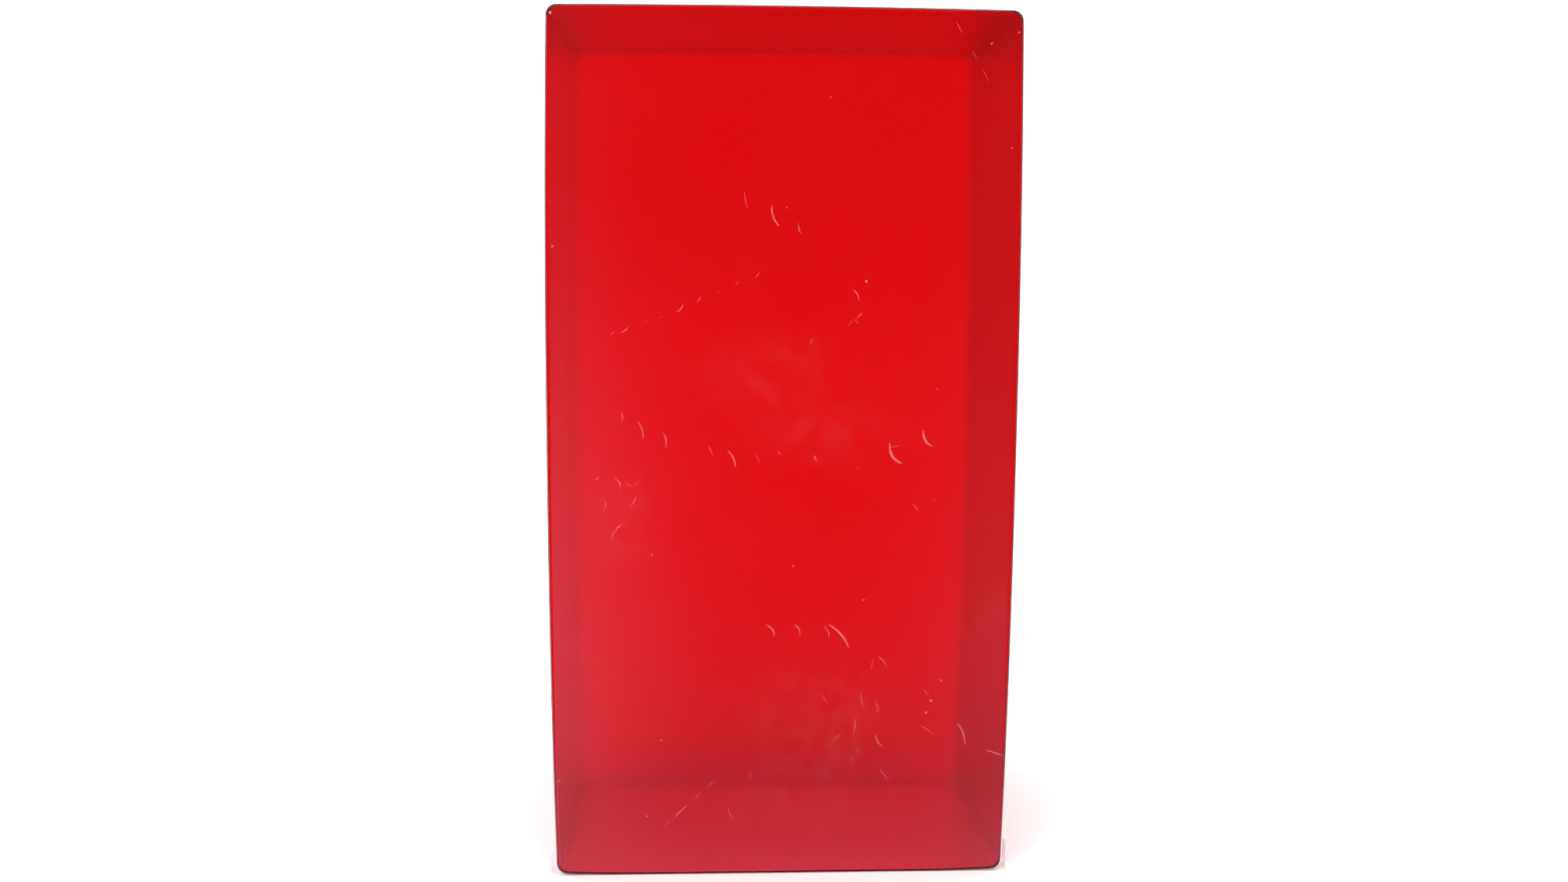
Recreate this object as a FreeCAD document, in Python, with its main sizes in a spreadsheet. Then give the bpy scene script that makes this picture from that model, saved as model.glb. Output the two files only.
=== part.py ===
import FreeCAD, Part
import os
import Sketcher

# A bar of clear-red detailing clay, tightly wrapped in two webs of clear film.
# The bar stands on its lower end. X is its width, Y its depth (the front faces -Y), Z its height.
# The origin is at the middle of the flat that it stands on. Millimetres.

SIZES = {
    "bar_width": 48.2,        # across the middle, where the long sides bow out most
    "bar_depth": 38.0,        # front face to back face
    "bar_height": 89.7,       # lower end to the crown of the upper end
    "side_bow": 0.5,          # how far each long side bows out between its corners
    "top_bow": 0.15,          # how far the upper end bows up between its corners
    "foot_length": 30.0,      # flat middle of the lower end
    "foot_lift": 0.25,        # how far the lower corners lift off the surface
    "corner_radius": 0.9,     # the four long corners, front to back
    "edge_radius": 0.5,       # round the rims of the front and back faces
    "film_wall": 0.1,
    "film_gap": 0.05,         # between the clay and the film
    "weld_width": 0.6,        # how far the weld stands out from the film
    "weld_start": 3.0,        # height at which the weld comes out of the film on each side
}

NONE = "0"
TO_FILM = "sizes.film_gap"
THROUGH_FILM = "(sizes.film_gap + sizes.film_wall)"
ON_PLANE = 1e-4
SKETCH_BEGIN, SKETCH_END = 1, 2
SKETCH_ORIGIN, SKETCH_UPRIGHT = -1, -2


def make_sheet(document):
    sheet = document.addObject("Spreadsheet::Sheet", "sizes")
    for row, (alias, value) in enumerate(SIZES.items(), start=1):
        sheet.set(f"A{row}", alias)
        sheet.set(f"B{row}", str(value))
        sheet.setAlias(f"B{row}", alias)
    document.recompute()


def bulged(start, end, bow):
    """An arc from start to end that bulges to the right of its direction by bow."""
    chord = end - start
    outward = FreeCAD.Vector(chord.y, -chord.x, 0).normalize()
    return Part.Arc(start, (start + end) * 0.5 + outward * bow, end)


def new_sketch(body, name):
    sketch = body.newObject("Sketcher::SketchObject", name)
    upright = next(plane for plane in body.Origin.OriginFeatures if plane.Role == "XZ_Plane")
    sketch.AttachmentSupport = [(upright, "")]
    sketch.MapMode = "FlatFace"
    return sketch


def bar_outline(body, name, grown, weld=NONE):
    """The bar's outline from the front, grown outwards all round by an expression.

    weld widens it at the sides and the top only, so that the foot stays on one plane.
    """
    sketch = new_sketch(body, name)
    half = SIZES["bar_width"] / 2 - SIZES["side_bow"]
    foot = SIZES["foot_length"] / 2
    toe, shoulder = SIZES["foot_lift"], SIZES["bar_height"] - SIZES["top_bow"]
    corners = [FreeCAD.Vector(x, z, 0) for x, z in
               ((-foot, 0), (foot, 0), (half, toe), (half, shoulder), (-half, shoulder), (-half, toe))]
    toe_bow = SIZES["foot_lift"] / 4
    bows = (0, toe_bow, SIZES["side_bow"], SIZES["top_bow"], SIZES["side_bow"], toe_bow)
    bottom, right_toe, right_side, top, left_side, left_toe = range(len(corners))
    for index, bow in enumerate(bows):
        start, end = corners[index], corners[(index + 1) % len(corners)]
        sketch.addGeometry(bulged(start, end, bow) if bow else Part.LineSegment(start, end))

    def rule(*terms):
        return sketch.addConstraint(Sketcher.Constraint(*terms))

    def bind(constraint, expression):
        sketch.setExpression(f"Constraints[{constraint}]", expression)

    def place(geometry, point, x, z, across, up):
        for kind, value, expression in (("DistanceX", x, across), ("DistanceY", z, up)):
            bind(rule(kind, SKETCH_ORIGIN, SKETCH_BEGIN, geometry, point, value), expression)

    for index in range(len(corners)):
        following = (index + 1) % len(corners)
        meets = "Tangent" if bottom in (index, following) else "Coincident"
        rule(meets, index, SKETCH_END, following, SKETCH_BEGIN)
    rule("Symmetric", bottom, SKETCH_BEGIN, bottom, SKETCH_END, SKETCH_UPRIGHT)
    rule("Symmetric", right_side, SKETCH_BEGIN, left_side, SKETCH_END, SKETCH_UPRIGHT)
    rule("Symmetric", right_side, SKETCH_END, left_side, SKETCH_BEGIN, SKETCH_UPRIGHT)
    rule("Equal", right_side, left_side)

    across = f"(sizes.bar_width / 2 - sizes.side_bow + {grown} + {weld})"
    clay_foot = "sizes.film_wall + sizes.film_gap"
    low = f"({clay_foot} - {grown})"
    toe_high = f"({low} + sizes.foot_lift)"
    high = f"({clay_foot} + sizes.bar_height - sizes.top_bow + {grown} + {weld})"
    film = SIZES["film_wall"] + SIZES["film_gap"]
    place(bottom, SKETCH_END, foot, film, "sizes.foot_length / 2", low)
    place(right_side, SKETCH_BEGIN, half, toe, across, toe_high)
    place(right_side, SKETCH_END, half, shoulder, across, high)

    def bend(geometry, half_chord, bow):
        radius = rule("Radius", geometry, sketch.Geometry[geometry].Radius)
        bind(radius, f"({half_chord} * {half_chord} + {bow} * {bow}) / (2 * {bow})")

    bend(right_side, f"(({high} - {toe_high}) / 2)", "sizes.side_bow")
    bend(top, across, "sizes.top_bow")
    return sketch


def corner_edges(shape):
    """The edges that run front to back at the outline's four corners."""
    beyond_foot = (SIZES["foot_length"] + SIZES["bar_width"]) / 4
    names = []
    for index, edge in enumerate(shape.Edges, start=1):
        box = edge.BoundBox
        if box.XLength < ON_PLANE and box.ZLength < ON_PLANE and abs(box.XMax) > beyond_foot:
            names.append(f"Edge{index}")
    return names


def rim_edges(shape):
    """The edges round the front face and round the back face."""
    face_depth = max(vertex.Y for vertex in shape.Vertexes)
    names = []
    for index, edge in enumerate(shape.Edges, start=1):
        box = edge.BoundBox
        if box.YLength < ON_PLANE and abs(abs(box.YMin) - face_depth) < ON_PLANE:
            names.append(f"Edge{index}")
    return names


def rounded(document, body, base, name, pick_edges, radius):
    fillet = body.newObject("PartDesign::Fillet", name)
    fillet.Base = (base, pick_edges(base.Shape))
    fillet.setExpression("Radius", radius)
    document.recompute()
    return fillet


def make_bar(document, name, grown):
    """The whole bar, grown outwards all round: for the clay, and for the film's two surfaces."""
    body = document.addObject("PartDesign::Body", name)
    body.Label = name
    outline = bar_outline(body, f"{name}_outline", grown)
    pad = body.newObject("PartDesign::Pad", f"{name}_pad")
    pad.Profile = outline
    pad.SideType = "Symmetric"
    pad.setExpression("Length", f"sizes.bar_depth + 2 * {grown}")
    document.recompute()
    corners = rounded(document, body, pad, f"{name}_corners", corner_edges,
                      f"sizes.corner_radius + {grown}")
    rounded(document, body, corners, f"{name}_rims", rim_edges, f"sizes.edge_radius + {grown}")
    return body


def make_weld_plate(document):
    """A thin upright plate at mid depth, whose rim stands out of the film as the weld."""
    body = document.addObject("PartDesign::Body", "weld_plate")
    outline = bar_outline(body, "weld_outline", THROUGH_FILM, "sizes.weld_width")
    pad = body.newObject("PartDesign::Pad", "weld_pad")
    pad.Profile = outline
    pad.SideType = "Symmetric"
    pad.setExpression("Length", "2 * sizes.film_wall")
    document.recompute()
    rounded(document, body, pad, "weld_corners", corner_edges,
            f"sizes.corner_radius + {THROUGH_FILM}")
    return body


def make_box(document, name, centre, size):
    """A box centred on X at height centre[1] and depth centre[0], sized by expressions."""
    box = document.addObject("Part::Box", name)
    for side, expression in zip(("Length", "Width", "Height"), size):
        box.setExpression(side, expression)
    box.setExpression("Placement.Base.x", f"-({size[0]}) / 2")
    box.setExpression("Placement.Base.y", centre[0])
    box.setExpression("Placement.Base.z", centre[1])
    return box


def combine(document, kind, name, base, tool):
    result = document.addObject(f"Part::{kind}", name)
    result.Label = name
    result.Base, result.Tool = base, tool
    return result


def make_films(document):
    """The front and back films: the shell round the bar with its weld, parted at mid depth."""
    outside = make_bar(document, "film_outside", THROUGH_FILM)
    inside = make_bar(document, "film_inside", TO_FILM)
    plate = make_weld_plate(document)
    room = ("2 * sizes.bar_width", "2 * sizes.bar_depth", "2 * sizes.bar_height")
    below = make_box(document, "below_weld", ("-sizes.bar_depth", "sizes.weld_start - 2 * sizes.bar_height"),
                     room)
    weld = combine(document, "Cut", "weld", plate, below)
    outer = combine(document, "Fuse", "wrap_outside", outside, weld)
    wrap = combine(document, "Cut", "wrap", outer, inside)
    front_half = make_box(document, "front_half", ("-2 * sizes.bar_depth", "-sizes.bar_height / 2"), room)
    back_half = make_box(document, "back_half", ("0", "-sizes.bar_height / 2"), room)
    return [combine(document, "Common", "film_front", wrap, front_half),
            combine(document, "Common", "film_back", wrap, back_half)]


def check(document, pieces):
    for item in document.Objects:
        if "Invalid" in item.State or "Error" in item.State:
            raise RuntimeError(f"{item.Name} could not be worked out: {item.State}")
    for piece in pieces:
        shape = piece.Shape
        if shape.isNull() or not shape.isValid() or len(shape.Solids) != 1:
            raise RuntimeError(f"{piece.Label} is not one sound solid")
        print(f"{piece.Label}: {shape.Volume / 1000:.3f} cm3, {len(shape.Faces)} faces")


def main():
    document = FreeCAD.newDocument("clay_bar")
    make_sheet(document)
    pieces = [make_bar(document, "clay_bar", NONE)] + make_films(document)
    document.recompute()
    check(document, pieces)
    os.makedirs("parts", exist_ok=True)
    for piece in pieces:
        piece.Shape.exportStep(f"parts/{piece.Label}.step")


main()
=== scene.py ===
import math
import random

import bpy
from mathutils import Matrix, Vector


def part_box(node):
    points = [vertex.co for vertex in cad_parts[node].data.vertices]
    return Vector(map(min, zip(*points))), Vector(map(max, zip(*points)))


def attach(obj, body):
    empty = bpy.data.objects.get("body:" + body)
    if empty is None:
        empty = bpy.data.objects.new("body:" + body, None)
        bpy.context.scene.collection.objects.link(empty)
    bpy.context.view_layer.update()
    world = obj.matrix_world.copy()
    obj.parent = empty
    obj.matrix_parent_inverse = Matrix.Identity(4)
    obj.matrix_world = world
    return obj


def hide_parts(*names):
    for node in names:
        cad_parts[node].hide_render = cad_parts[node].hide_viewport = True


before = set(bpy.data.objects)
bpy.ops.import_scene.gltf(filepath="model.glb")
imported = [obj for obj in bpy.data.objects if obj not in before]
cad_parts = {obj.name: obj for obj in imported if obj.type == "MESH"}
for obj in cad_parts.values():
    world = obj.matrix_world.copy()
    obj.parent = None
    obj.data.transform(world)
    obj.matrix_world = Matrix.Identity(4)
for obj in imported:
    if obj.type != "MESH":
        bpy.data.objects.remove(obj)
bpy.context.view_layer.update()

# A bar of clear-red detailing clay in clear wrapping film. Metres, in the part's own frame:
# the bar stands on z = 0, its width runs along X, and its front faces -Y.

MM = 0.001
clay_low, clay_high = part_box("clay_bar")
film_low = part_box("film_front")[0]
film_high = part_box("film_back")[1]
CLAY_SIZE = clay_high - clay_low
CLAY_MIDDLE = (clay_high + clay_low) / 2
HALF_WIDTH = CLAY_SIZE.x / 2
FRONT = film_low.y
BACK = film_high.y

SIDE_BOW = 0.5 * MM
TOP_BOW = 0.15 * MM
FOOT_HALF = 15 * MM
FOOT_LIFT = 0.25 * MM
CORNER_RADIUS = 0.9 * MM
RIM_RADIUS = 0.4 * MM
FILM_GAP = 0.05 * MM
FILM_WALL = 0.09 * MM
WELD_WIDTH = 0.6 * MM
WELD_START = 3.0 * MM
MARK_THICKNESS = 0.016       # of a mark on the film, as a share of its length
GRID = 2.6 * MM              # spacing of the cuts that let the block bow and sag
NEAR = 0.02 * MM
WELD_HALF_GAP = 0.01 * MM
SKIN = clay_low.y - FILM_GAP - FILM_WALL     # the film's outer face, in front
CLAY_IOR = 1.5
FILM_IOR = 1.49
BACKGROUND = 1.5             # how bright the room is, where it is seen directly
LANE_SPREAD = 129 * MM       # how far ahead the floor's bright lanes lie twice as wide apart
LIGHT_PATHS = 32             # enough for light to pass every skin of film on its way
GLOSS_PATHS = 12             # and to be mirrored inside the clay

# Rubbed patches of the front film: middle x, middle z, width and height, in millimetres.
HAZE = [(4.5, 15.5, 26, 28), (2.0, 9.0, 24, 14), (-1.0, 53.5, 22, 13), (4.5, 47.5, 24, 10),
        (-16.5, 38.5, 9, 13), (21.8, 28.0, 6, 10)]

# Fine marks on the front film, in millimetres: x, z, length, lean in degrees from upright,
# bend (1 bulges right, -1 left, 0 straight) and strength.
MARKS = [
    (-4.0, 71.0, 1.5, -10, 0, 1), (-1.2, 69.3, 2.3, -20, -1, 2), (1.4, 68.1, 1.2, -15, -1, 2),
    (-2.7, 63.5, 1.0, 35, 0, 2), (-4.8, 62.6, 0.7, 45, 0, 1), (-6.6, 61.8, 0.5, 35, 0, 1),
    (-8.6, 61.0, 0.9, 30, 1, 2), (-10.5, 60.0, 1.2, 40, 1, 2), (-12.4, 59.2, 0.5, 55, 0, 1),
    (-14.0, 58.8, 0.5, 35, 0, 1), (-16.0, 57.9, 1.2, 50, 1, 2), (-17.4, 57.5, 0.6, 45, 0, 1),
    (7.4, 61.6, 1.4, -30, 1, 2), (7.6, 59.4, 1.0, 45, 0, 2), (7.4, 58.8, 0.7, -45, 0, 1),
    (6.7, 58.6, 0.8, 30, 0, 1), (2.8, 56.8, 0.9, 25, 1, 2), (10.2, 58.2, 0.5, -70, 0, 1),
    (-16.4, 49.0, 1.2, -5, 1, 2), (-14.4, 47.7, 2.0, -15, 1, 2), (-12.0, 46.7, 1.6, -10, 1, 2),
    (-7.4, 45.6, 1.3, -25, 1, 1), (-5.1, 44.8, 2.1, -25, 1, 2), (-2.6, 44.8, 1.2, -25, 1, 1),
    (-0.4, 45.3, 0.7, -25, 0, 1), (3.3, 44.8, 0.6, -25, 0, 3), (11.2, 45.1, 2.6, -30, -1, 3),
    (14.6, 46.7, 2.1, -30, -1, 3), (11.4, 46.0, 1.1, 80, 0, 1), (-19.0, 42.7, 0.6, 50, 0, 2),
    (-16.8, 42.3, 1.3, -30, 1, 2), (-15.0, 42.1, 0.8, 40, 1, 2), (-15.8, 42.0, 1.0, -60, -1, 1),
    (-15.3, 40.3, 1.2, 30, 1, 2), (-18.2, 39.8, 1.1, 10, 1, 2), (-17.0, 37.6, 1.0, 45, -1, 3),
    (-17.5, 36.8, 0.9, 15, 0, 1), (7.6, 43.8, 0.9, -35, 0, 1), (13.8, 39.7, 1.1, -35, 1, 1),
    (-1.0, 26.8, 1.6, -35, 1, 3), (1.8, 26.8, 1.4, -25, 1, 3), (4.8, 26.6, 1.5, -25, 1, 2),
    (6.2, 26.2, 3.4, -40, 1, 1), (-4.0, 26.8, 0.6, -40, 0, 1), (10.7, 23.3, 1.6, -40, 1, 1),
    (9.5, 23.0, 1.3, 10, 0, 1), (15.2, 20.0, 1.0, -35, 0, 1), (10.2, 14.6, 1.7, -30, -1, 2),
    (15.5, 15.8, 1.9, -55, 0, 1), (19.3, 15.4, 2.6, -20, 1, 1), (22.8, 13.2, 2.2, -70, 0, 3),
    (10.9, 11.0, 1.7, -35, 0, 2), (4.5, 19.3, 1.4, -35, 0, 1), (10.1, 18.5, 1.3, -20, -1, 1),
    (-10.6, 7.1, 2.0, 45, 0, 3), (-7.4, 10.1, 1.1, 45, 0, 1), (-8.8, 8.8, 1.1, 40, 0, 1),
    (-12.0, 5.8, 1.0, 45, 0, 1), (-5.4, 6.8, 1.6, -20, -1, 2), (-3.2, 11.1, 1.2, -5, 0, 1),
    (8.4, 19.2, 1.5, -10, -1, 1), (7.8, 16.2, 1.7, 5, 1, 1), (8.1, 13.6, 0.8, -30, 1, 1),
    (5.8, 15.0, 1.2, 50, 0, 1), (17.2, 88.0, 1.4, -30, 0, 1), (18.8, 85.3, 1.0, -30, 0, 1),
    (20.0, 83.3, 1.3, -30, 0, 1)]

# Specks caught on the film: x, z and width, in millimetres.
SPECKS = [
    (0.2, 70.2, 0.2), (8.3, 62.9, 0.25), (15.7, 52.0, 0.15), (-13.5, 34.7, 0.2), (15.7, 40.5, 0.15),
    (-3.8, 70.3, 0.15), (1.1, 33.5, 0.2), (8.5, 29.9, 0.25), (15.8, 19.0, 0.25), (15.3, 17.7, 0.25),
    (16.8, 21.2, 0.18), (16.3, 20.1, 0.12), (-14.1, 6.6, 0.2), (10.1, 17.9, 0.2), (-12.6, 14.9, 0.2),
    (7.5, 12.6, 0.18), (4.5, 17.3, 0.12), (4.5, 81.1, 0.22), (20.5, 86.5, 0.2), (22.8, 76.3, 0.2),
    (-23.3, 66.2, 0.2), (-23.3, 10.6, 0.2), (23.2, 87.6, 0.2), (-23.2, 88.9, 0.3)]

scatter = random.Random(7)


# ---------------------------------------------------------------- modelling helpers

def only(piece):
    bpy.ops.object.select_all(action="DESELECT")
    piece.select_set(True)
    bpy.context.view_layer.objects.active = piece
    return piece


def edit(piece, mode="VERT"):
    only(piece)
    bpy.ops.object.mode_set(mode="EDIT")
    bpy.ops.mesh.select_mode(type=mode)
    bpy.ops.mesh.select_all(action="DESELECT")


def done():
    bpy.ops.object.mode_set(mode="OBJECT")


def pick_points(piece, test):
    """In edit mode: selects the vertices whose place passes the test."""
    done()
    for vertex in piece.data.vertices:
        vertex.select = test(vertex.co)
    bpy.ops.object.mode_set(mode="EDIT")


def pick_edges(piece, test):
    """In edit mode: selects the edges whose two ends pass the test."""
    done()
    points = piece.data.vertices
    for edge in piece.data.edges:
        edge.select = test(points[edge.vertices[0]].co, points[edge.vertices[1]].co)
    bpy.ops.object.mode_set(mode="EDIT")


def settle(piece):
    """Moves a piece's place, turn and scale into its mesh."""
    only(piece)
    bpy.ops.object.transform_apply(location=True, rotation=True, scale=True)
    return piece


def apply_modifier(piece, kind, **settings):
    only(piece)
    modifier = piece.modifiers.new(kind.title(), kind)
    for name, value in settings.items():
        setattr(modifier, name, value)
    bpy.ops.object.modifier_apply(modifier=modifier.name)


def copy_of(piece, name):
    twin = piece.copy()
    twin.data = piece.data.copy()
    twin.name = twin.data.name = name
    bpy.context.scene.collection.objects.link(twin)
    return twin


def join(pieces, name):
    bpy.ops.object.select_all(action="DESELECT")
    for piece in pieces:
        piece.select_set(True)
    bpy.context.view_layer.objects.active = pieces[0]
    bpy.ops.object.join()
    pieces[0].name = pieces[0].data.name = name
    return pieces[0]


def cut_rows(piece, axis, low, high, step):
    """In edit mode: cuts the piece square across an axis at even steps."""
    count = max(2, round((high - low) / step))
    for index in range(1, count):
        place = Vector((0, 0, 0))
        place[axis] = low + (high - low) * index / count
        normal = [0, 0, 0]
        normal[axis] = 1
        bpy.ops.mesh.select_all(action="SELECT")
        bpy.ops.mesh.bisect(plane_co=place, plane_no=normal)


def push(piece, direction, amount, weight):
    """Moves points along an axis by amount times weight(place), which lies from 0 to 1."""
    group = piece.vertex_groups.new(name="push")
    for vertex in piece.data.vertices:
        share = weight(vertex.co)
        if share > 0:
            group.add([vertex.index], share, "REPLACE")
    apply_modifier(piece, "DISPLACE", direction=direction, strength=amount, mid_level=0,
                   vertex_group=group.name)
    piece.vertex_groups.remove(piece.vertex_groups[0])


def roughen(piece, name, size, amount, direction="NORMAL", group=""):
    """Makes a surface slightly uneven, the same way on every run."""
    texture = bpy.data.textures.new(name, "CLOUDS")
    texture.noise_scale = size
    texture.noise_depth = 1
    apply_modifier(piece, "DISPLACE", texture=texture, texture_coords="LOCAL", strength=amount,
                   mid_level=0.5, direction=direction, vertex_group=group)


# ---------------------------------------------------------------- the block's shape

def bow_at(place):
    """Share of the side bow by which a long side lies inside its widest line at this height."""
    along = 2 * (place.z - CLAY_MIDDLE.z) / CLAY_SIZE.z
    return abs(along) ** 2.3 * abs(place.x) / HALF_WIDTH


def at_top(place):
    return max(0.0, place.z - CLAY_MIDDLE.z) / (CLAY_SIZE.z / 2)


def foot_rise(place):
    """Share of the lift by which the foot's two sides clear the ground; it is gone 6 mm up."""
    beyond = max(0.0, abs(place.x) - FOOT_HALF) / (HALF_WIDTH - FOOT_HALF)
    return beyond ** 2 * max(0.0, 1 - (place.z - clay_low.z) / (6 * MM))


def on_rim(one, other):
    """Whether an edge runs round the front face or round the back one."""
    to_face = min(abs(one.y - clay_low.y), abs(one.y - clay_high.y))
    return to_face < NEAR and abs(one.y - other.y) < NEAR


def make_block(name):
    """The cast block: rounded at its edges, then bowed at its sides and ends."""
    bpy.ops.mesh.primitive_cube_add(size=1, location=CLAY_MIDDLE, scale=CLAY_SIZE)
    block = bpy.context.object
    block.name = block.data.name = name
    settle(block)

    edit(block, "EDGE")
    pick_edges(block, lambda a, b: abs(a.y - b.y) > NEAR)
    bpy.ops.mesh.bevel(offset=CORNER_RADIUS, segments=6)
    pick_edges(block, on_rim)
    bpy.ops.mesh.bevel(offset=RIM_RADIUS, segments=5)
    inset = CORNER_RADIUS + RIM_RADIUS
    for axis in range(3):
        cut_rows(block, axis, clay_low[axis] + inset, clay_high[axis] - inset, GRID)
    done()

    push(block, "X", -SIDE_BOW, lambda place: bow_at(place) if place.x > 0 else 0)
    push(block, "X", SIDE_BOW, lambda place: bow_at(place) if place.x < 0 else 0)
    push(block, "Z", -TOP_BOW, lambda place: at_top(place) * (place.x / HALF_WIDTH) ** 2)
    push(block, "Z", FOOT_LIFT, foot_rise)
    return block


# ---------------------------------------------------------------- materials

def new_material(name):
    material = bpy.data.materials.new(name)
    material.use_nodes = True
    tree = material.node_tree
    return material, tree, tree.nodes["Principled BSDF"]


def node(tree, kind, inputs=None, **settings):
    made = tree.nodes.new(kind)
    for name, value in settings.items():
        setattr(made, name, value)
    for name, value in (inputs or {}).items():
        if isinstance(value, bpy.types.NodeSocket):
            tree.links.new(value, made.inputs[name])
        else:
            made.inputs[name].default_value = value
    return made


def place_on(tree, scale=(1, 1, 1)):
    place = node(tree, "ShaderNodeTexCoord").outputs["Object"]
    return node(tree, "ShaderNodeMapping", {"Vector": place, "Scale": scale}).outputs[0]


def axes(tree, vector):
    return node(tree, "ShaderNodeSeparateXYZ", {"Vector": vector}).outputs


def noise(tree, place, scale, detail=3.0, roughness=0.5):
    return node(tree, "ShaderNodeTexNoise", {"Vector": place, "Scale": scale, "Detail": detail,
                                             "Roughness": roughness}).outputs["Fac"]


def remap(tree, value, low, high, to_low, to_high):
    return node(tree, "ShaderNodeMapRange", {"Value": value, "From Min": low, "From Max": high,
                                             "To Min": to_low, "To Max": to_high}).outputs[0]


def calculate(tree, operation, *values, clamp=False):
    made = node(tree, "ShaderNodeMath", dict(enumerate(values)), operation=operation, use_clamp=clamp)
    return made.outputs[0]


def distance(tree, value, middle=0.0):
    return calculate(tree, "ABSOLUTE", calculate(tree, "SUBTRACT", value, middle))


def vector_math(tree, operation, *values):
    return node(tree, "ShaderNodeVectorMath", dict(enumerate(values)), operation=operation).outputs


def multiply(tree, one, other):
    return calculate(tree, "MULTIPLY", one, other)


def largest(tree, one, other):
    return calculate(tree, "MAXIMUM", one, other)


def mix_colours(tree, share, one, other):
    mix = node(tree, "ShaderNodeMix", data_type="RGBA")
    for name, value in (("Factor", share), ("A", one), ("B", other)):
        socket = next(s for s in mix.inputs if s.name == name and s.enabled)
        if isinstance(value, bpy.types.NodeSocket):
            tree.links.new(value, socket)
        else:
            socket.default_value = value
    return next(s for s in mix.outputs if s.enabled)


def clay_material():
    """Clear red clay: light goes through it and comes out deep red.

    The moulded front and back and the left side are the clearest. The top is a little duller, and the foot
    and the right side are the dullest, with a darker red painted on them as shade.
    """
    material, tree, surface = new_material("red_clay")
    place = place_on(tree)
    at = axes(tree, place)
    half = CLAY_SIZE / 2
    across, depth = distance(tree, at["X"]), distance(tree, at["Y"])
    height = distance(tree, at["Z"], CLAY_MIDDLE.z)
    # 1 on the narrow faces, which run round the bar between the front and the back.
    narrow = remap(tree, depth, half.y - 0.15 * MM, half.y - 0.4 * MM, 0.0, 1.0)
    # This mask makes every narrow face but the left one rougher, and also carries the darker red painted on
    # as shade.
    matt_and_shaded = multiply(tree, narrow, remap(tree, at["X"], 0.2 * MM - half.x, 1.6 * MM - half.x, 0.1, 1.0))
    below = remap(tree, at["Z"], clay_high.z - 1.05 * MM, clay_high.z - 0.25 * MM, 1.0, 0.6)
    dull_and_painted_shade = multiply(tree, matt_and_shaded, below)
    arris = multiply(tree, remap(tree, across, half.x - 1.5 * MM, half.x - 1.0 * MM, 0.0, 1.0),
                     remap(tree, height, half.z - 1.35 * MM, half.z - 0.85 * MM, 0.0, 1.0))
    arris = multiply(tree, arris, narrow)

    tint = mix_colours(tree, noise(tree, place, 45), (0.9, 0.004, 0.012, 1), (0.92, 0.008, 0.02, 1))
    # Painted shade: a darker red on the top, the foot and the right side, where less light comes through.
    tint = mix_colours(tree, dull_and_painted_shade, tint, (0.8, 0.004, 0.01, 1))
    tint = mix_colours(tree, arris, tint, (1.0, 0.006, 0.014, 1))
    tree.links.new(tint, surface.inputs["Base Color"])
    face = remap(tree, across, 16 * MM, 22 * MM, 0.18, 0.23)
    uneven = remap(tree, noise(tree, place, 90), 0.3, 0.7, 0.0, 0.03)
    rough = calculate(tree, "ADD", largest(tree, face, multiply(tree, matt_and_shaded, 0.3)), uneven)
    tree.links.new(rough, surface.inputs["Roughness"])
    clear = multiply(tree, remap(tree, dull_and_painted_shade, 0.0, 1.0, 0.95, 0.7), remap(tree, arris, 0.0, 1.0, 1.0, 0.15))
    tree.links.new(clear, surface.inputs["Transmission Weight"])
    surface.inputs["IOR"].default_value = CLAY_IOR
    body = node(tree, "ShaderNodeVolumeAbsorption", {"Color": (0.86, 0.0, 0.1, 1), "Density": 110})
    tree.links.new(body.outputs[0], tree.nodes["Material Output"].inputs["Volume"])
    return material


def blot(tree, x, z, wide, high):
    """1 in the middle of a soft patch on the front face, fading to 0 at its edge. Millimetres."""
    place = node(tree, "ShaderNodeTexCoord").outputs["Object"]
    place = vector_math(tree, "SUBTRACT", place, (x * MM, FRONT, z * MM))[0]
    place = vector_math(tree, "MULTIPLY", place, (2 / MM / wide, 2 / MM, 2 / MM / high))[0]
    away = vector_math(tree, "LENGTH", place)["Value"]
    return node(tree, "ShaderNodeMapRange", {"Value": away, "From Min": 1.0, "From Max": 0.2},
                interpolation_type="SMOOTHSTEP").outputs[0]


def rubbed_film(tree, place):
    """Opacity of the film's rubbed patches: faint upright wipes broken into clouds."""
    clouds = remap(tree, noise(tree, place, 650, 6, 0.7), 0.42, 0.75, 0.0, 1.0)
    wipes = noise(tree, place_on(tree, (2600, 300, 380)), 1.0, 3, 0.6)
    wipes = multiply(tree, clouds, remap(tree, wipes, 0.35, 0.7, 0.35, 1.0))
    rubbed = blot(tree, *HAZE[0])
    for patch in HAZE[1:]:
        rubbed = largest(tree, rubbed, blot(tree, *patch))
    return multiply(tree, multiply(tree, wipes, 0.012), rubbed)


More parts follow.
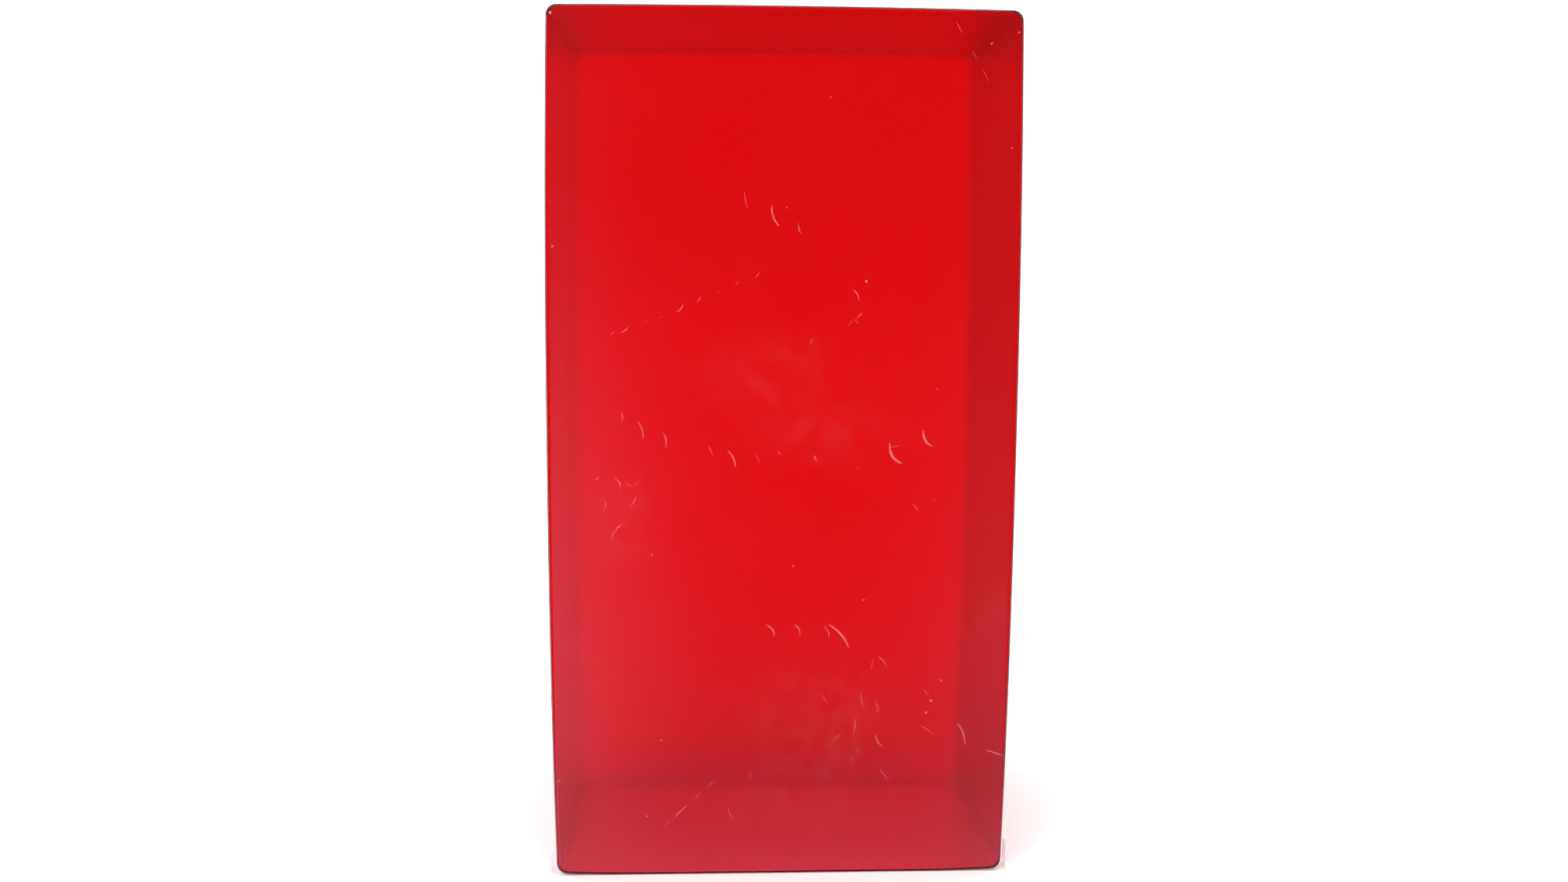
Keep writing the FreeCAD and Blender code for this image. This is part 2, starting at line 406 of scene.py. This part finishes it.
def film_material():
    """Clear film: unseen where it lies wet on the clay, pale where it is rubbed, lifted or welded.

    Where it turns round the front edge, a fine dark red line is painted into it as shade.
    """
    material, tree, surface = new_material("clear_film")
    place = place_on(tree)
    at = axes(tree, place)
    near, far = 0.17 * MM, 0.3 * MM
    lip = largest(tree, remap(tree, distance(tree, at["X"]), HALF_WIDTH + near, HALF_WIDTH + far, 0.0, 0.16),
                  remap(tree, at["Z"], clay_high.z + near, clay_high.z + far, 0.0, 0.16))
    facing = distance(tree, axes(tree, node(tree, "ShaderNodeTexCoord").outputs["Normal"])["Y"])
    # Painted shade: a dark red line, almost opaque, painted into the film along the front outline.
    painted_rim_shade = multiply(tree, remap(tree, facing, 0.66, 0.58, 0.0, 1.0),
                   remap(tree, at["Y"], FRONT + 1.3 * MM, FRONT + 0.9 * MM, 0.0, 1.0))
    seen = largest(tree, rubbed_film(tree, place), lip)
    tree.links.new(largest(tree, seen, multiply(tree, painted_rim_shade, 0.9)), surface.inputs["Alpha"])
    grain = noise(tree, place, 900, 4, 0.7)
    pale = mix_colours(tree, grain, (0.9, 0.74, 0.76, 1), (0.96, 0.88, 0.9, 1))
    # The dark red of the painted shade line along the front outline.
    tree.links.new(mix_colours(tree, painted_rim_shade, pale, (0.26, 0.004, 0.01, 1)), surface.inputs["Base Color"])
    gloss = remap(tree, noise(tree, place, 120), 0.3, 0.7, 0.12, 0.3)
    tree.links.new(gloss, surface.inputs["Roughness"])
    surface.inputs["IOR"].default_value = FILM_IOR
    surface.inputs["Specular IOR Level"].default_value = 0.15
    return material


def crumple_material():
    """Film pinched into folds, which catches the light."""
    material, tree, surface = new_material("film_pleat")
    folds = noise(tree, place_on(tree, (900, 900, 300)), 1.0, 3)
    colour = mix_colours(tree, folds, (0.86, 0.72, 0.74, 1), (0.97, 0.93, 0.94, 1))
    tree.links.new(colour, surface.inputs["Base Color"])
    tree.links.new(remap(tree, folds, 0.35, 0.65, 0.12, 0.5), surface.inputs["Alpha"])
    tree.links.new(remap(tree, folds, 0.3, 0.7, 0.1, 0.25), surface.inputs["Roughness"])
    surface.inputs["IOR"].default_value = FILM_IOR
    return material


def scuff_material():
    """Fine raised marks on the film."""
    material, tree, surface = new_material("scuffs")
    grain = noise(tree, place_on(tree), 1400, 2)
    colour = mix_colours(tree, grain, (0.95, 0.45, 0.48, 1), (1.0, 0.7, 0.73, 1))
    tree.links.new(colour, surface.inputs["Base Color"])
    tree.links.new(remap(tree, grain, 0.3, 0.7, 0.055, 0.16), surface.inputs["Alpha"])
    tree.links.new(remap(tree, grain, 0.3, 0.7, 0.35, 0.5), surface.inputs["Roughness"])
    return material


# ---------------------------------------------------------------- pieces

def make_clay(block):
    clay = copy_of(block, "clay_block")
    roughen(clay, "clay_unevenness", 16 * MM, 0.05 * MM)
    only(clay)
    bpy.ops.object.shade_smooth()
    apply_modifier(clay, "WEIGHTED_NORMAL", keep_sharp=False)
    clay.data.materials.append(clay_material())
    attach(clay, "root")
    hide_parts("clay_bar")


def make_stroke(name, bend):
    """One raised mark, a millimetre long and pointed at both ends, upright on the film."""
    bpy.ops.mesh.primitive_uv_sphere_add(segments=6, ring_count=10, radius=0.5 * MM,
                                         scale=(0.1, MARK_THICKNESS, 1))
    stroke = bpy.context.object
    stroke.name = stroke.data.name = name
    settle(stroke)
    if bend:
        push(stroke, "X", -0.16 * MM, lambda place: (2 * place.z / MM) ** 2)
    return stroke


def place_copy(shape, name, x, z, scale, lean):
    """Sets a scaled copy of a mark on the front film, leaning to the right from upright."""
    mark = copy_of(shape, name)
    mark.location = (x * MM, SKIN, z * MM)
    mark.rotation_euler = (0, math.radians(lean), 0)
    mark.scale = scale
    return settle(mark)


def make_marks():
    """The scuffs and specks, as thin raised marks that stand on the front film."""
    straight, bent = make_stroke("straight_stroke", False), make_stroke("bent_stroke", True)
    widths = {1: 0.6, 2: 0.8, 3: 1.2}
    marks = []
    for x, z, length, lean, bend, strength in MARKS:
        shape = bent if bend else straight
        width = widths[strength] * (length if bend else 1)
        turn = lean if bend >= 0 else lean + 180
        marks.append(place_copy(shape, "mark", x, z, (width, 1, length), turn))
    bpy.ops.mesh.primitive_uv_sphere_add(segments=8, ring_count=6, radius=0.5 * MM,
                                         scale=(1, MARK_THICKNESS, 1))
    speck = settle(bpy.context.object)
    for x, z, width in SPECKS:
        scale = (width, 1, width * scatter.uniform(0.8, 1.3))
        marks.append(place_copy(speck, "speck", x, z, scale, scatter.uniform(-40, 40)))
    for shape in (straight, bent, speck):
        bpy.data.objects.remove(shape)
    made = join(marks, "marks")
    only(made)
    bpy.ops.object.shade_smooth()
    made.data.materials.append(scuff_material())
    return made


def make_pleat(name, x, z, widest, high, wide, material):
    """A pinched fold of spare film that stands out from a bottom corner.

    It stands out furthest at widest times half its height.
    """
    near, far = SKIN + 0.4 * MM, SKIN + 2 * MM
    bpy.ops.mesh.primitive_cube_add(size=1, location=(x, (near + far) / 2, z + high / 2),
                                    scale=(wide, far - near, high))
    pleat = bpy.context.object
    pleat.name = pleat.data.name = name
    settle(pleat)
    edit(pleat)
    cut_rows(pleat, 2, z, z + high, 0.3 * MM)
    cut_rows(pleat, 1, near, far, 0.3 * MM)
    done()
    inner = x - math.copysign(wide / 2, x)

    def pinch(place):
        outward = abs(place.x - inner) / wide
        return outward * abs((place.z - z) / high * 2 - widest) ** 1.4 / 2

    push(pleat, "X", -math.copysign(wide * 0.85, x), pinch)
    roughen(pleat, f"{name}_crumple", 0.7 * MM, 0.12 * MM, "Y")
    only(pleat)
    bpy.ops.object.shade_smooth_by_angle(angle=math.radians(40))
    pleat.data.materials.append(material)
    return pleat


def make_film(block, name, side, extras):
    """One web of film: a skin over its half of the bar, turned out at mid depth as a weld.

    side is -1 for the front web and 1 for the back one. The extras are joined to the web.
    """
    film = copy_of(block, name)
    edit(film, "EDGE")
    bpy.ops.mesh.select_all(action="SELECT")
    bpy.ops.transform.shrink_fatten(value=FILM_GAP)
    bpy.ops.mesh.select_all(action="SELECT")
    bpy.ops.mesh.bisect(plane_co=(0, side * WELD_HALF_GAP, 0), plane_no=(0, side, 0), clear_inner=True)
    bpy.ops.mesh.extrude_region_move()
    done()
    lip = film.vertex_groups.new(name="lip")
    turned = [vertex.index for vertex in film.data.vertices if vertex.select and vertex.co.z > WELD_START]
    lip.add(turned, 1.0, "REPLACE")
    edit(film)
    bpy.ops.object.vertex_group_select()
    spread = [1 + WELD_WIDTH / HALF_WIDTH, 1, 1 + 2 * WELD_WIDTH / CLAY_SIZE.z]
    bpy.ops.transform.resize(value=spread, center_override=CLAY_MIDDLE)
    bpy.ops.mesh.select_all(action="SELECT")
    bpy.ops.mesh.remove_doubles(threshold=NEAR / 10)
    bpy.ops.mesh.normals_make_consistent(inside=False)
    done()
    roughen(film, f"{name}_wave", 7 * MM, 0.5 * MM, "Y", "lip")
    apply_modifier(film, "SOLIDIFY", thickness=FILM_WALL, offset=1)
    only(film)
    bpy.ops.object.shade_smooth_by_angle(angle=math.radians(35))
    film.vertex_groups.clear()
    film.data.materials.append(film_material())
    if extras:
        film = join([film] + extras, name)
    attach(film, "root")
    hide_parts("film_front" if side < 0 else "film_back")


# ---------------------------------------------------------------- studio

def mirror_rays(tree):
    """1 for what a glossy surface mirrors, 0 for what is seen directly or through the clay."""
    rays = node(tree, "ShaderNodeLightPath").outputs
    return calculate(tree, "SUBTRACT", rays["Is Glossy Ray"], rays["Is Transmission Ray"], clamp=True)


def painted_floor_reflection(tree):
    """How bright the gloss sees the floor, as light and shade painted into its colour: bright at the foot
    and a third of that 20 mm out.

    Two painted lanes of light that run forward and apart also lighten the sides of the front face.
    """
    at = axes(tree, place_on(tree))
    across, along = distance(tree, at["X"]), distance(tree, at["Y"])
    away = largest(tree, calculate(tree, "SUBTRACT", across, film_high.x),
                   calculate(tree, "SUBTRACT", along, BACK))
    away = largest(tree, away, 0.0)
    foot = calculate(tree, "POWER", calculate(tree, "MULTIPLY_ADD", away, 60.0, 1.0), 1.4)
    foot = calculate(tree, "DIVIDE", 0.9, foot)

    ahead = largest(tree, calculate(tree, "SUBTRACT", FRONT, at["Y"]), 0.0)
    lane = calculate(tree, "DIVIDE", calculate(tree, "ADD", at["X"], 7 * MM),
                     calculate(tree, "MULTIPLY_ADD", ahead, 1 / LANE_SPREAD, 1.0))
    aside = calculate(tree, "DIVIDE", distance(tree, lane, 10 * MM), 22 * MM)
    aside = calculate(tree, "POWER", aside, 3.0)
    share = calculate(tree, "DIVIDE", remap(tree, ahead, 0.0, 60 * MM, 0.12, 0.33),
                      calculate(tree, "MULTIPLY_ADD", ahead, 3.0, 1.0))
    inside = remap(tree, distance(tree, lane), 32 * MM, 42 * MM, 1.0, 0.0)
    lanes = multiply(tree, multiply(tree, aside, share), inside)
    return calculate(tree, "ADD", foot, lanes, clamp=True)


def make_floor():
    bpy.ops.mesh.primitive_circle_add(vertices=128, radius=4, fill_type="NGON")
    floor = bpy.context.object
    floor.name = "floor"
    material, tree, surface = new_material("floor")
    mirror = mirror_rays(tree)
    # Painted light and shade: seen directly the floor is an even white, but the gloss mirrors the painted
    # pool of light at the foot and the painted lanes.
    bright = node(tree, "ShaderNodeMix", {"Factor": mirror, "A": 0.97, "B": painted_floor_reflection(tree)}).outputs[0]
    # A painted bluish cast in what the gloss mirrors of the floor.
    blue = multiply(tree, bright, remap(tree, mirror, 0.0, 1.0, 1.0, 1.5))
    shade = node(tree, "ShaderNodeCombineColor", {"Red": bright, "Green": bright, "Blue": blue})
    tree.links.new(shade.outputs[0], surface.inputs["Base Color"])
    surface.inputs["Roughness"].default_value = 0.9
    surface.inputs["Specular IOR Level"].default_value = 0.0
    floor.data.materials.append(material)


def make_sun(name, direction, strength, softness):
    lamp = bpy.data.lights.new(name, "SUN")
    lamp.energy, lamp.angle = strength, math.radians(softness)
    holder = bpy.data.objects.new(name, lamp)
    holder.rotation_euler = Vector(direction).to_track_quat("-Z", "Y").to_euler()
    bpy.context.scene.collection.objects.link(holder)


def make_world():
    """White all round, and dim in front, where the camera stands, for what the gloss mirrors."""
    world = bpy.data.worlds.new("studio")
    bpy.context.scene.world = world
    world.use_nodes = True
    world.cycles.sampling_method = "NONE"     # or the gloss would also mirror the room undimmed
    tree = world.node_tree
    background = tree.nodes["Background"]
    towards = axes(tree, node(tree, "ShaderNodeTexCoord").outputs["Generated"])
    behind = remap(tree, towards["Y"], -0.45, 0.1, 0.0, 0.2)
    left = calculate(tree, "MINIMUM", remap(tree, towards["X"], -0.09, -0.29, 0.0, 0.42),
                     remap(tree, towards["X"], -0.3, -0.5, 0.42, 0.05))
    mirror = mirror_rays(tree)
    strength = node(tree, "ShaderNodeMix", {"Factor": mirror, "A": BACKGROUND,
                                            "B": largest(tree, behind, left)})
    tree.links.new(strength.outputs[0], background.inputs["Strength"])
    colour = mix_colours(tree, mirror, (1, 1, 1, 1), (1, 0.7, 1.1, 1))
    tree.links.new(colour, background.inputs["Color"])


def make_camera():
    """Stands a little left of the bar, two thirds of the way up it, looking slightly down."""
    holder = bpy.data.objects.new("camera", bpy.data.cameras.new("camera"))
    bpy.context.scene.collection.objects.link(holder)
    height = clay_high.z + FILM_GAP + FILM_WALL
    place = Vector((-0.0756 * height, FRONT - 1.43 * height, 0.702 * height))
    yaw, pitch, roll = (math.radians(angle) for angle in (-2.2, 6.53, 0.34))
    turn, tip = Matrix.Rotation(yaw, 4, "Z"), Matrix.Rotation(math.pi / 2 - pitch, 4, "X")
    holder.matrix_world = Matrix.Translation(place) @ turn @ tip @ Matrix.Rotation(roll, 4, "Z")
    holder.data.sensor_width = 36
    holder.data.lens = 29.1
    holder.data.shift_x, holder.data.shift_y = 0.0119, -0.0114
    holder.data.clip_start = 0.001
    bpy.context.scene.camera = holder


block = make_block("block")
make_clay(block)
folded = crumple_material()
left_pleat = make_pleat("left_pleat", -24.5 * MM, 0.15 * MM, 0.6, 1.5 * MM, 0.45 * MM, folded)
right_pleat = make_pleat("right_pleat", 24.5 * MM, 0.1 * MM, 0.9, 2.7 * MM, 0.5 * MM, folded)
make_film(block, "front_film", -1, [make_marks(), left_pleat, right_pleat])
make_film(block, "back_film", 1, [])
bpy.data.objects.remove(block)
make_floor()
make_world()
make_sun("key", (0.55, 0.5, -0.9), 0.5, 25)
make_camera()
bpy.context.scene.view_settings.view_transform = "Standard"
bpy.context.scene.cycles.transparent_max_bounces = LIGHT_PATHS
bpy.context.scene.cycles.glossy_bounces = GLOSS_PATHS
